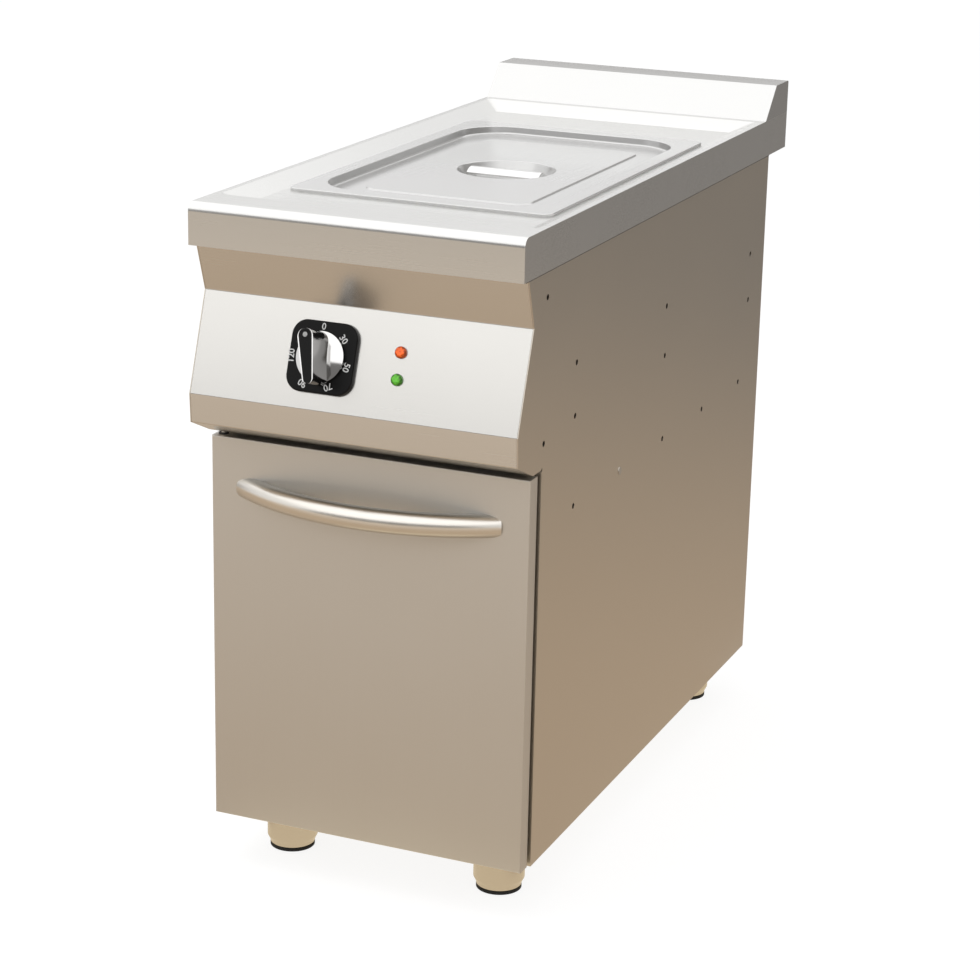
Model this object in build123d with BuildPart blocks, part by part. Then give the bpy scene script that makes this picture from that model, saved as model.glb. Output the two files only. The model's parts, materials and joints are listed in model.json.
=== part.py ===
from build123d import *

import os
from math import asin, atan2, cos, degrees, radians, sin

# Bain-marie cabinet: X to the right, Y to the back, Z up, millimetres.
# "Set back" is the distance behind the front face of the worktop's drop edge.

# Overall size
width = 400.0
depth = 930.0
height = 850.0
front_face_y = -446.21

# Sheet metal
top_sheet = 2.0
panel_sheet = 1.2
tank_sheet = 1.5
pan_sheet = 1.0
door_sheet = 1.0
bend_radius = 2.0
seam = 0.2

# Worktop and upstand
skirt_height = 48.0
bullnose_radius = 10.0
recess_depth = 11.0
recess_corner = 8.0
rim_side = 8.0
rim_front = 57.0
rim_back = 12.0
recess_floor_margin = 3.0
recess_run_front = 25.0
recess_run_back = 33.0
upstand_rise = 42.0
upstand_top_depth = 54.0
upstand_slope_run = 40.4
upstand_edge_radius = 3.0
upstand_sheet = 1.5

# Well, pan and lid
well_set_back = 427.5
tank_length = 515.0
tank_breadth = 311.0
tank_corner = 45.0
tank_depth = 190.0
tank_foot_radius = 14.0
tank_flange = 12.0
pan_gap = 4.0
pan_depth = 150.0
pan_draft = 9.0
pan_foot_radius = 22.0
pan_flange_overlap = 7.0
pan_flange_thick = 1.2
rim_corner = 12.0
lid_rim_height = 2.2
lid_edge_radius = 1.2
lid_draw_radius = 2.5
lid_rim_side = 20.0
lid_rim_end = 20.0
lid_recess_corner = 60.0
lid_recess_depth = 9.7
lid_recess_draft = 2.0
island_margin_side = 38.0
island_margin_end = 54.0
island_corner = 20.0
island_rise = 1.8
island_draft = 1.8
dish_radius = 60.0
dish_depth = 14.0
dish_draft = 5.0
strap_end_gap = 8.0
strap_breadth = 28.0
strap_thick = 2.0
strap_proud = 0.5
strap_crown = 5.5
strap_end_radius = 1.5

# Cabinet body
leg_height = 62.0
side_inset = 1.0
body_set_back = 67.5
back_overhang = 70.0
side_flange = 18.0
relief_radius = 2.0
tray_rise = 20.0
tray_return = 20.0
tray_set_in = 0.3
rail_height = 17.8
rail_depth = 30.0
rail_gap = 2.0

# Control panel, folded from one sheet
skirt_gap = 13.5
tongue_height = 30.0
upper_band_height = 56.0
crease_set_back = 34.4
face_drop = 112.0
face_foot_set_back = -4.0
lower_band_height = 34.0
band_foot_set_back = -2.0
underside_drop = 20.0
lip_set_back = 42.0
lip_depth = 22.0

# Holes in the side panels
hole_radius = 3.4
service_front_set_back = 165.0
service_middle_set_back = 467.0
service_back_inset = 60.0
service_upper_drop = 123.0
service_lower_drop = 185.0
coupling_drop = 292.0
coupling_first_set_back = 168.0
coupling_back_inset = 86.8
coupling_count = 5
panel_hole_set_back = 71.0
panel_hole_upper_drop = 29.0
panel_hole_lower_drop = 193.0
rivet_head_radius = 4.6
rivet_head_thick = 0.8

# Dial, knob and lamps on the slanted face
dial_x = -41.0
dial_drop = 59.7
dial_size = 80.0
dial_corner = 18.0
dial_thick = 6.0
dial_edge = 2.0
shaft_radius = 3.0
shaft_play = 0.1
panel_hole_play = 3.0
knob_gap = 0.8
knob_radius = 28.5
knob_disc_height = 7.5
knob_crown = 3.5
knob_height = 38.5
knob_pointer_reach = 28.2
knob_tail_reach = 32.5
knob_rest_turn = 12.5
knob_socket_depth = 16.0
insert_depth = 1.5
insert_border = 1.2
grip_foot_pointer_radius = 13.0
grip_foot_tail_radius = 7.5
grip_waist_height = 12.0
grip_waist_pointer_radius = 10.2
grip_waist_tail_radius = 6.8
grip_top_pointer_radius = 9.2
grip_top_tail_radius = 6.4
thermostat_size = 46.0
thermostat_depth = 32.0
lamp_x = 50.0
lamp_orange_drop = 43.0
lamp_green_drop = 73.0
lamp_radius = 6.8
lamp_flange = 1.5
lamp_dome = 3.2
lamp_stem_radius = 4.6
lamp_stem = 5.0
lamp_body_radius = 5.6
lamp_body_length = 26.0
lamp_nut_radius = 8.5
lamp_nut_thick = 3.0
lamp_hole_play = 0.15

# Door, hinge and catch
door_side_gap = 3.5
door_top_gap = 6.0
door_set_back = 42.2
door_thick = 20.0
door_edge_radius = 1.5
hinge_inset = 9.0
hinge_set_in = 12.5
hinge_pin_radius = 3.0
hinge_play = 0.05
bush_radius = 4.6
bush_length = 14.0
bush_flange_radius = 6.0
bush_flange_thick = 1.0
bush_rest_gap = 0.1
bracket_thick = 2.0
bracket_breadth = 34.0
bracket_front = 1.5
hinge_screw_radius = 2.5
hinge_screw_head = 4.5
hinge_screw_head_thick = 2.0
hinge_screw_pitch = 20.0
handle_drop = 59.0
handle_radius = 13.5
handle_end_margin = 54.5
handle_stand_off = 37.5
handle_overrun = 17.6
handle_screw_inset = 12.0
handle_screw_radius = 3.0
handle_screw_depth = 12.0
handle_screw_head = 5.5
handle_screw_head_thick = 4.0
catch_inset = 77.8
catch_breadth = 46.0
catch_height = 16.0
catch_depth = 24.0
strike_thick = 1.5
strike_gap = 0.5
strike_breadth = 38.0
strike_height = 12.0

# Legs and feet
foot_inset = 61.4
foot_front_set_back = 126.0
foot_back_inset = 59.0
sleeve_radius = 30.5
sleeve_bottom = 8.5
sleeve_chamfer_height = 5.2
sleeve_lip = 0.5
foot_radius = 27.0
foot_play = 0.4
foot_height = 37.0
foot_wall = 3.0
foot_floor = 6.0
foot_chamfer = 1.0
pad_thick = 4.0
spindle_radius = 8.0
spindle_play = 0.3
spindle_top_gap = 2.0
web_bottom = 44.0
web_thick = 8.0

# Heating under the tank
heater_radius = 4.25
heater_gap = 0.1
heater_leg_pitch = 70.0
heater_bend = 30.0
heater_end_margin = 12.0
heater_turn_margin = 50.0
clamp_breadth = 25.0
clamp_thick = 3.0
clamp_length = 270.0
clamp_pitch = 220.0
stud_x = 70.0
stud_radius = 3.0
stud_play = 0.2
nut_radius = 5.5
nut_thick = 5.0
stud_tail = 3.0

# Sensing bulb and limit thermostat on the tank's front wall
bulb_radius = 4.0
bulb_length = 90.0
bulb_x = 35.0
bulb_drop = 147.0
pocket_wall = 1.4
pocket_play = 0.1
pocket_length = 60.0
capillary_radius = 1.0
capillary_bend = 8.0
limit_x = 60.0
limit_drop = 95.0
limit_radius = 10.0
limit_depth = 12.0

# Drain through the tank floor
drain_x = -70.0
drain_inset = 61.5
drain_bore = 10.0
drain_pipe_radius = 13.0
drain_flange_radius = 22.0
drain_flange_thick = 2.0
drain_nut_radius = 20.0
drain_nut_thick = 8.0
drain_tail = 25.0
drain_hole_play = 2.0
tray_drain_radius = 20.0
valve_drop = 40.0
valve_radius = 19.0
valve_length = 56.0
outlet_radius = 12.0
outlet_depth = 12.0
valve_boss_radius = 11.0
valve_boss_reach = 27.0
ball_radius = 14.5
ball_play = 0.1
stem_radius = 5.0
stem_play = 0.1
stem_reach = 35.0
lever_gap = 2.0
lever_length = 95.0
lever_breadth = 20.0
lever_thick = 3.0
lever_tip_breadth = 14.0

# Mains entry and wiring
gland_inset = 67.8
gland_rise = 24.0
gland_radius = 12.0
gland_bore = 5.0
gland_flange_radius = 16.0
gland_flange_thick = 6.0
gland_dome_length = 20.0
gland_inside = 10.0
block_length = 34.0
block_breadth = 60.0
block_height = 28.0
block_gap = 12.0
wire_radius = 1.6
wire_bend = 14.0
wire_lane = 20.0


def behind(set_back):
    """The Y of a point that lies this far behind the drop edge's front face."""
    return front_face_y + set_back


def save(name, part):
    part.label = name
    export_step(part, f"parts/{name}.step")


os.makedirs("parts", exist_ok=True)

# Levels and places worked out from the sizes above
half_width = width / 2
back_y = front_face_y + depth
middle_y = front_face_y + depth / 2
worktop_z = height - upstand_rise
skirt_bottom_z = worktop_z - skirt_height
recess_floor_z = worktop_z - recess_depth
deck_under_z = worktop_z - top_sheet
upstand_foot_y = back_y - upstand_top_depth - upstand_slope_run
side_x = half_width - side_inset
inside_x = side_x - panel_sheet
panel_half = inside_x - seam
body_front_y = behind(body_set_back)
body_back_y = back_y - back_overhang
crease_z = skirt_bottom_z - upper_band_height
face_foot_z = crease_z - face_drop
band_foot_z = face_foot_z - lower_band_height
lip_z = band_foot_z - underside_drop
lip_top_z = lip_z + panel_sheet
tray_z = leg_height + tray_rise
tray_front_y = body_front_y + panel_sheet + tray_set_in
panel_back_y = body_back_y - panel_sheet
panel_front_y = panel_back_y - panel_sheet
rail_front_y = behind(lip_set_back + lip_depth + rail_gap)
ceiling_z = lip_top_z + rail_height
ceiling_top_z = ceiling_z + panel_sheet
well_y = behind(well_set_back)
tank_floor_z = recess_floor_z - tank_depth
tank_under_z = tank_floor_z - tank_sheet
tank_front_y = well_y - tank_length / 2 - tank_sheet
tank_top_z = recess_floor_z - top_sheet


# Worktop: the space under the sheet first, then the pressed sheet round it
recess_front_y = behind(rim_front)
recess_back_y = upstand_foot_y - rim_back
recess_mid_y = (recess_front_y + recess_back_y) / 2
recess_length = recess_back_y - recess_front_y
recess_breadth = width - 2 * rim_side
recess_mouth = (recess_breadth, recess_length)
floor_mid_y = recess_mid_y + (recess_run_front - recess_run_back) / 2
flange_breadth = tank_breadth + 2 * pan_flange_overlap
flange_length = tank_length + 2 * pan_flange_overlap
recess_floor = (
    flange_breadth + 2 * recess_floor_margin,
    recess_length - recess_run_front - recess_run_back,
)


def rounded(y, z, size, corner):
    """A level rectangle with rounded corners, centred across the width at this Y and Z."""
    with BuildSketch(Plane.XY.offset(z)) as outline:
        with Locations((0, y)):
            RectangleRounded(size[0], size[1], corner)
    return outline.sketch


def grown(size, by):
    return (size[0] + 2 * by, size[1] + 2 * by)


def recess_sections(top_z):
    """Mouth and floor of the hopper-shaped recess, with the mouth at top_z."""
    return (
        rounded(recess_mid_y, top_z, recess_mouth, recess_corner),
        rounded(floor_mid_y, top_z - recess_depth, recess_floor, recess_corner / 2),
    )


with BuildPart() as worktop_core:
    with BuildSketch(Plane.XY.offset(skirt_bottom_z)):
        with Locations((0, middle_y)):
            Rectangle(width - 2 * top_sheet, depth - 2 * top_sheet)
    extrude(amount=skirt_height - top_sheet)
    top_edges = worktop_core.faces().sort_by(Axis.Z)[-1].edges()
    fillet(top_edges.sort_by(Axis.Y)[0], bullnose_radius - top_sheet)
    loft(recess_sections(deck_under_z), mode=Mode.SUBTRACT)

with BuildPart() as worktop:
    with BuildSketch(Plane.XY.offset(skirt_bottom_z)):
        with Locations((0, middle_y)):
            Rectangle(width, depth)
    extrude(amount=skirt_height)
    top_edges = worktop.faces().sort_by(Axis.Z)[-1].edges()
    fillet(top_edges.sort_by(Axis.Y)[0], bullnose_radius)
    loft(recess_sections(worktop_z), mode=Mode.SUBTRACT)
    add(worktop_core.part, mode=Mode.SUBTRACT)
    with BuildSketch(Plane.XY.offset(recess_floor_z)):
        with Locations((0, well_y)):
            RectangleRounded(tank_breadth, tank_length, tank_corner)
    extrude(amount=-top_sheet, mode=Mode.SUBTRACT)
save("worktop", worktop.part)


# Upstand: a hollow hood, open below, that stands on the back of the worktop
with BuildPart() as upstand:
    with BuildSketch(Plane.YZ):
        with BuildLine():
            Polyline(
                (upstand_foot_y, worktop_z),
                (upstand_foot_y + upstand_slope_run, height),
                (back_y, height),
                (back_y, worktop_z),
                close=True,
            )
        make_face()
    extrude(amount=half_width, both=True)
    long_edges = upstand.faces().sort_by(Axis.Z)[-1].edges().filter_by(Axis.X)
    fillet(long_edges, upstand_edge_radius)
    open_face = upstand.faces().sort_by(Axis.Z)[0]
    offset(amount=-upstand_sheet, openings=open_face)
save("upstand", upstand.part)


# Water tank with its welded flange, drain hole and the pocket for the sensing bulb
bulb_y = tank_front_y - bulb_radius - pocket_play - pocket_wall
bulb_z = recess_floor_z - bulb_drop
drain_y = tank_front_y + drain_inset

with BuildPart() as water_tank:
    with BuildSketch(Plane.XY.offset(tank_top_z)):
        with Locations((0, well_y)):
            RectangleRounded(
                tank_breadth + 2 * tank_sheet,
                tank_length + 2 * tank_sheet,
                tank_corner + tank_sheet,
            )
    extrude(amount=tank_under_z - tank_top_z)
    fillet(water_tank.faces().sort_by(Axis.Z)[0].edges(), tank_foot_radius + tank_sheet)
    offset(amount=-tank_sheet, openings=water_tank.faces().sort_by(Axis.Z)[-1])
    with BuildSketch(Plane.XY.offset(tank_top_z)):
        with Locations((0, well_y)):
            RectangleRounded(
                tank_breadth + 2 * tank_flange,
                tank_length + 2 * tank_flange,
                tank_corner + tank_flange,
            )
            RectangleRounded(tank_breadth, tank_length, tank_corner, mode=Mode.SUBTRACT)
    extrude(amount=-tank_sheet)
    with BuildSketch(Plane.XY.offset(tank_under_z)):
        with Locations((drain_x, drain_y)):
            Circle(drain_pipe_radius)
    extrude(amount=tank_sheet, mode=Mode.SUBTRACT)
    pocket_radius = bulb_radius + pocket_play + pocket_wall
    with BuildSketch(Plane.YZ.offset(bulb_x - pocket_length / 2)):
        with Locations((bulb_y, bulb_z)):
            Circle(pocket_radius)
        with Locations(((bulb_y + tank_front_y) / 2, bulb_z)):
            Rectangle(tank_front_y - bulb_y, 2 * pocket_wall)
        with Locations((bulb_y, bulb_z)):
            Circle(bulb_radius + pocket_play, mode=Mode.SUBTRACT)
    extrude(amount=pocket_length)
save("water_tank", water_tank.part)


# Food pan: hangs by its flange on the recess floor, clear of the tank
pan_breadth = tank_breadth - 2 * pan_gap
pan_length = tank_length - 2 * pan_gap
pan_corner = tank_corner - pan_gap
pan_top_z = recess_floor_z + pan_flange_thick


def pan_form(inset):
    """The pan's tapered bowl as a block, drawn in by inset on its walls and floor."""
    mouth = grown((pan_breadth, pan_length), -inset)
    foot = grown((pan_breadth, pan_length), -inset - pan_draft)
    foot_z = recess_floor_z - pan_depth + inset
    with BuildPart() as form:
        bowl = (
            rounded(well_y, recess_floor_z, mouth, pan_corner - inset),
            rounded(well_y, foot_z, foot, pan_corner - inset - pan_draft),
        )
        loft(bowl)
        fillet(form.faces().sort_by(Axis.Z)[0].edges(), pan_foot_radius - inset)
    return form.part


pan_outside = pan_form(0.0)
pan_inside = pan_form(pan_sheet)
pan_mouth = grown((pan_breadth, pan_length), -pan_sheet)
with BuildPart() as food_pan:
    add(pan_outside)
    add(pan_inside, mode=Mode.SUBTRACT)
    with BuildSketch(Plane.XY.offset(recess_floor_z)):
        with Locations((0, well_y)):
            RectangleRounded(flange_breadth, flange_length, rim_corner)
            RectangleRounded(*pan_mouth, pan_corner - pan_sheet, mode=Mode.SUBTRACT)
    extrude(amount=pan_flange_thick)
save("food_pan", food_pan.part)


# Pan lid: the pressed form, and the same form one sheet smaller taken from under it
lid_top_z = pan_top_z + lid_rim_height
lid_floor_z = lid_top_z - lid_recess_depth
island_z = lid_floor_z + island_rise
dish_floor_z = island_z - dish_depth
lid_base_z = dish_floor_z - 2 * pan_sheet
lid_recess = (flange_breadth - 2 * lid_rim_side, flange_length - 2 * lid_rim_end)
island = (lid_recess[0] - 2 * island_margin_side, lid_recess[1] - 2 * island_margin_end)


def dish_outline(z, inset):
    with BuildSketch(Plane.XY.offset(z)) as outline:
        with Locations((0, well_y)):
            Circle(dish_radius + inset)
    return outline.sketch


def lid_form(inset):
    """The lid as a block with its pressings, drawn in by inset on every face."""
    rim_size = grown((flange_breadth, flange_length), -inset)
    recess_top = grown(lid_recess, inset)
    recess_foot = grown(lid_recess, inset - lid_recess_draft)
    island_foot = grown(island, -inset)
    island_crown = grown(island, -inset - island_draft)
    foot_corner = lid_recess_corner + inset - lid_recess_draft
    crown_corner = island_corner - inset - island_draft
    with BuildPart() as form:
        block = rounded(well_y, lid_base_z, rim_size, rim_corner - inset)
        extrude(block, amount=lid_top_z - inset - lid_base_z)
        fillet(form.faces().sort_by(Axis.Z)[-1].edges(), lid_edge_radius - inset)
        recess = (
            rounded(well_y, lid_top_z - inset, recess_top, lid_recess_corner + inset),
            rounded(well_y, lid_floor_z - inset, recess_foot, foot_corner),
        )
        loft(recess, mode=Mode.SUBTRACT)
        raised = (
            rounded(well_y, lid_floor_z - inset, island_foot, island_corner - inset),
            rounded(well_y, island_z - inset, island_crown, crown_corner),
        )
        loft(raised)
        dish = (
            dish_outline(island_z - inset, inset),
            dish_outline(dish_floor_z - inset, inset - dish_draft),
        )
        loft(dish, mode=Mode.SUBTRACT)
    return form.part


def level_face(form, z):
    """The flat level face of a form that lies nearest to this height."""
    return min(form.faces().filter_by(Axis.Z), key=lambda face: abs(face.center().Z - z))


lid_outside = lid_form(0.0)
lid_inside = lid_form(pan_sheet)
with BuildPart() as pan_lid:
    add(lid_outside)
    fillet(level_face(pan_lid, lid_top_z).inner_wires()[0].edges(), lid_edge_radius)
    fillet(level_face(pan_lid, lid_floor_z).outer_wire().edges(), lid_draw_radius)
    fillet(level_face(pan_lid, island_z).inner_wires()[0].edges(), lid_edge_radius)
    fillet(level_face(pan_lid, dish_floor_z).outer_wire().edges(), lid_draw_radius)
    add(lid_inside, mode=Mode.SUBTRACT)
    with BuildSketch(Plane.XY.offset(lid_base_z)):
        with Locations((0, well_y)):
            RectangleRounded(flange_breadth, flange_length, rim_corner)
            RectangleRounded(
                flange_breadth - 2 * pan_sheet,
                flange_length - 2 * pan_sheet,
                rim_corner - pan_sheet,
                mode=Mode.SUBTRACT,
            )
    extrude(amount=pan_top_z - lid_base_z, mode=Mode.SUBTRACT)
save("pan_lid", pan_lid.part)

# Lid handle: an arched strap across the dish, closed at each end by a plate that stands on the dish floor
strap_half_span = dish_radius - dish_draft - strap_end_gap
strap_half_breadth = strap_breadth / 2
strap_top_z = island_z + strap_proud


def under_strap(x, drop):
    """All that lies under the strap's arch at this X, with the arch lowered by drop."""
    arch_z = strap_top_z - drop
    with BuildSketch(Plane.YZ.offset(x)) as section:
        with BuildLine():
            arch = ThreePointArc(
                (well_y - strap_half_breadth, arch_z - strap_crown),
                (well_y, arch_z),
                (well_y + strap_half_breadth, arch_z - strap_crown),
            )
            Polyline(
                arch @ 1,
                (well_y + strap_half_breadth, dish_floor_z),
                (well_y - strap_half_breadth, dish_floor_z),
                arch @ 0,
            )
        make_face()
    return section.sketch


hollow_start = strap_thick - strap_half_span
with BuildPart() as lid_handle:
    extrude(under_strap(-strap_half_span, 0.0), amount=2 * strap_half_span)
    end_arches = lid_handle.edges().filter_by(GeomType.CIRCLE)
    fillet(end_arches, strap_end_radius)
    extrude(under_strap(hollow_start, strap_thick), amount=-2 * hollow_start, mode=Mode.SUBTRACT)
save("lid_handle", lid_handle.part)


# Control panel: tongue behind the drop edge, upper band, slanted face, lower band, underside and lip
tongue_set_back = top_sheet + skirt_gap
face_tilt = atan2(crease_set_back - face_foot_set_back, face_drop)
panel_outline = (
    (behind(tongue_set_back), skirt_bottom_z),
    (behind(crease_set_back), crease_z),
    (behind(face_foot_set_back), face_foot_z),
    (behind(band_foot_set_back), band_foot_z),
    (behind(lip_set_back), lip_z),
)
hinge_x = -(half_width - door_side_gap - hinge_inset)
hinge_y = behind(door_set_back + hinge_set_in)


def on_face(x, drop):
    """A plane on the slanted face: drop is measured down the face from the crease, Z points out."""
    return Plane(
        origin=(
            x,
            behind(crease_set_back) - drop * sin(face_tilt),
            crease_z - drop * cos(face_tilt),
        ),
        x_dir=(1, 0, 0),
        z_dir=(0, -cos(face_tilt), sin(face_tilt)),
    )


dial_plane = on_face(dial_x, dial_drop)
lamp_drops = {"orange": lamp_orange_drop, "green": lamp_green_drop}
lamp_hole_radius = lamp_body_radius + lamp_hole_play

with BuildPart() as control_panel:
    with BuildSketch(Plane.YZ):
        with BuildLine():
            panel_line = FilletPolyline(
                (behind(tongue_set_back), skirt_bottom_z + tongue_height),
                *panel_outline,
                (behind(lip_set_back + lip_depth), lip_z),
                radius=bend_radius,
            )
            offset(panel_line, amount=panel_sheet, side=Side.LEFT)
        make_face()
    extrude(amount=panel_half, both=True)
    with BuildSketch(dial_plane):
        Circle(shaft_radius + panel_hole_play)
    extrude(amount=-2 * panel_sheet, mode=Mode.SUBTRACT)
    for drop in lamp_drops.values():
        with BuildSketch(on_face(lamp_x, drop)):
            Circle(lamp_hole_radius)
        extrude(amount=-2 * panel_sheet, mode=Mode.SUBTRACT)
    with BuildSketch(Plane.XY.offset(lip_z)):
        with Locations((hinge_x, hinge_y)):
            Circle(hinge_pin_radius)
    extrude(amount=panel_sheet, mode=Mode.SUBTRACT)
save("control_panel", control_panel.part)


# Side panels: the front edge follows the control panel, with returns for the door and the back
service_columns = (
    behind(service_front_set_back),
    behind(service_middle_set_back),
    body_back_y - service_back_inset,
)
coupling_z = skirt_bottom_z - coupling_drop
coupling_first_y = behind(coupling_first_set_back)
coupling_row = body_back_y - coupling_back_inset - coupling_first_y
coupling_pitch = coupling_row / (coupling_count - 1)
hole_points = [
    (y, skirt_bottom_z - drop)
    for y in service_columns
    for drop in (service_upper_drop, service_lower_drop)
]
hole_points += [
    (coupling_first_y + index * coupling_pitch, coupling_z)
    for index in range(coupling_count)
]
hole_points += [
    (behind(panel_hole_set_back), skirt_bottom_z - drop)
    for drop in (panel_hole_upper_drop, panel_hole_lower_drop)
]

with BuildPart() as side_panel_right:
    with BuildSketch(Plane.YZ.offset(inside_x)):
        with BuildLine():
            Polyline(
                *panel_outline,
                (body_front_y, lip_z),
                (body_front_y, leg_height),
                (body_back_y, leg_height),
                (body_back_y, skirt_bottom_z),
                close=True,
            )
        make_face()
        with Locations(*hole_points):
            Circle(hole_radius, mode=Mode.SUBTRACT)
        with Locations((body_front_y, lip_z)):
            Circle(relief_radius, mode=Mode.SUBTRACT)
    extrude(amount=panel_sheet)
    with BuildSketch(Plane.XY.offset(leg_height)):
        with Locations((inside_x - side_flange / 2, body_front_y + panel_sheet / 2)):
            Rectangle(side_flange, panel_sheet)
    extrude(amount=lip_z - relief_radius - leg_height)
    with BuildSketch(Plane.XY.offset(leg_height)):
        with Locations((inside_x - side_flange / 2, body_back_y - panel_sheet / 2)):
            Rectangle(side_flange, panel_sheet)
    extrude(amount=skirt_bottom_z - leg_height)
save("side_panel_right", side_panel_right.part)

with BuildPart() as side_panel_left:
    mirror(side_panel_right.part, about=Plane.YZ)
save("side_panel_left", side_panel_left.part)

rivet_y = coupling_first_y + coupling_pitch
with BuildPart() as rivet_right:
    with BuildSketch(Plane.YZ.offset(inside_x)):
        with Locations((rivet_y, coupling_z)):
            Circle(hole_radius)
    extrude(amount=panel_sheet)
    with BuildSketch(Plane.YZ.offset(side_x)):
        with Locations((rivet_y, coupling_z)):
            Circle(rivet_head_radius)
    extrude(amount=rivet_head_thick)
with BuildPart() as panel_rivets:
    add(rivet_right.part)
    mirror(rivet_right.part, about=Plane.YZ)
save("panel_rivets", panel_rivets.part)


# Back panel, base tray, front rail and the ceiling of the cupboard
gland_x = inside_x - gland_inset
gland_z = ceiling_top_z + gland_rise

with BuildPart() as back_panel:
    with BuildSketch(Plane.XZ.offset(-panel_back_y)):
        with Locations((0, (leg_height + deck_under_z) / 2)):
            Rectangle(2 * panel_half, deck_under_z - leg_height)
        with Locations((gland_x, gland_z)):
            Circle(gland_radius, mode=Mode.SUBTRACT)
    extrude(amount=panel_sheet)
save("back_panel", back_panel.part)

bracket_x = -inside_x + bracket_breadth / 2
bracket_back_y = tray_front_y + tray_return
bracket_front_y = hinge_y - hinge_pin_radius - bracket_front
hinge_screw_y = tray_front_y + tray_return / 2 + panel_sheet / 2
hinge_screw_points = [
    (bracket_x - hinge_screw_pitch / 2, hinge_screw_y),
    (bracket_x + hinge_screw_pitch / 2, hinge_screw_y),
]

with BuildPart() as base_tray:
    with BuildSketch(Plane.YZ):
        with BuildLine():
            tray_line = FilletPolyline(
                (tray_front_y + tray_return, leg_height),
                (tray_front_y, leg_height),
                (tray_front_y, tray_z),
                (panel_front_y, tray_z),
                (panel_front_y, leg_height),
                (panel_front_y - tray_return, leg_height),
                radius=bend_radius,
            )
            offset(tray_line, amount=panel_sheet, side=Side.RIGHT)
        make_face()
    extrude(amount=panel_half, both=True)
    with BuildSketch(Plane.XY.offset(leg_height)):
        with Locations(*hinge_screw_points):
            Circle(hinge_screw_radius)
    extrude(amount=panel_sheet, mode=Mode.SUBTRACT)
    with BuildSketch(Plane.XY.offset(tray_z)):
        with Locations((drain_x, drain_y)):
            Circle(tray_drain_radius)
    extrude(amount=-panel_sheet, mode=Mode.SUBTRACT)
save("base_tray", base_tray.part)

with BuildPart() as front_rail:
    with BuildSketch(Plane.YZ):
        with BuildLine():
            rail_line = FilletPolyline(
                (rail_front_y + rail_depth, lip_top_z),
                (rail_front_y, lip_top_z),
                (rail_front_y, ceiling_z),
                (rail_front_y + rail_depth, ceiling_z),
                radius=bend_radius,
            )
            offset(rail_line, amount=panel_sheet, side=Side.RIGHT)
        make_face()
    extrude(amount=panel_half, both=True)
save("front_rail", front_rail.part)

with BuildPart() as compartment_ceiling:
    with BuildSketch(Plane.XY.offset(ceiling_z)):
        with Locations((0, (rail_front_y + panel_front_y) / 2)):
            Rectangle(2 * panel_half, panel_front_y - rail_front_y)
        with Locations((drain_x, drain_y)):
            Circle(drain_pipe_radius + drain_hole_play, mode=Mode.SUBTRACT)
    extrude(amount=panel_sheet)
save("compartment_ceiling", compartment_ceiling.part)


# Legs: fixed sleeves under the tray, each with a foot that screws down out of it
foot_x = inside_x - foot_inset
foot_back_y = body_back_y - foot_back_inset
foot_places = {
    "front_left": (-foot_x, behind(foot_front_set_back)),
    "front_right": (foot_x, behind(foot_front_set_back)),
    "rear_left": (-foot_x, foot_back_y),
    "rear_right": (foot_x, foot_back_y),
}
sleeve_top_z = tray_z - panel_sheet
sleeve_bore = foot_radius + foot_play
foot_top_z = pad_thick + foot_height

with BuildPart() as leg_sleeve:
    with BuildSketch(Plane.XZ):
        with BuildLine():
            Polyline(
                (sleeve_bore, sleeve_bottom),
                (sleeve_bore + sleeve_lip, sleeve_bottom),
                (sleeve_radius, sleeve_bottom + sleeve_chamfer_height),
                (sleeve_radius, sleeve_top_z),
                (sleeve_bore, sleeve_top_z),
                (sleeve_bore, web_bottom + web_thick),
                (spindle_radius + spindle_play, web_bottom + web_thick),
                (spindle_radius + spindle_play, web_bottom),
                (sleeve_bore, web_bottom),
                close=True,
            )
        make_face()
    revolve(axis=Axis.Z)
with BuildPart() as leg_sleeves:
    with Locations(*foot_places.values()):
        add(leg_sleeve.part)
save("leg_sleeves", leg_sleeves.part)

with BuildPart() as levelling_foot:
    with BuildSketch(Plane.XZ):
        with BuildLine():
            Polyline(
                (0, pad_thick),
                (foot_radius - foot_chamfer, pad_thick),
                (foot_radius, pad_thick + foot_chamfer),
                (foot_radius, foot_top_z),
                (foot_radius - foot_wall, foot_top_z),
                (foot_radius - foot_wall, pad_thick + foot_floor),
                (spindle_radius, pad_thick + foot_floor),
                (spindle_radius, sleeve_top_z - spindle_top_gap),
                (0, sleeve_top_z - spindle_top_gap),
                close=True,
            )
        make_face()
    revolve(axis=Axis.Z)
with BuildPart() as rubber_pad:
    with BuildSketch(Plane.XY):
        Circle(foot_radius)
    extrude(amount=pad_thick)

for place, spot in foot_places.items():
    with BuildPart() as foot:
        with Locations(spot):
            add(levelling_foot.part)
    save(f"foot_{place}", foot.part)
    with BuildPart() as foot_pad:
        with Locations(spot):
            add(rubber_pad.part)
    save(f"foot_pad_{place}", foot_pad.part)


# Dial plate, thermostat, shaft and knob, all square to the slanted face
with BuildPart() as dial_plate:
    with BuildSketch(dial_plane):
        RectangleRounded(dial_size, dial_size, dial_corner)
    extrude(amount=dial_thick)
    outer_face = dial_plate.faces().sort_by(Axis(dial_plane.origin, dial_plane.z_dir))[-1]
    fillet(outer_face.edges(), dial_edge)
    with BuildSketch(dial_plane):
        Circle(shaft_radius + panel_hole_play)
    extrude(amount=dial_thick, mode=Mode.SUBTRACT)
save("dial_plate", dial_plate.part)

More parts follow.
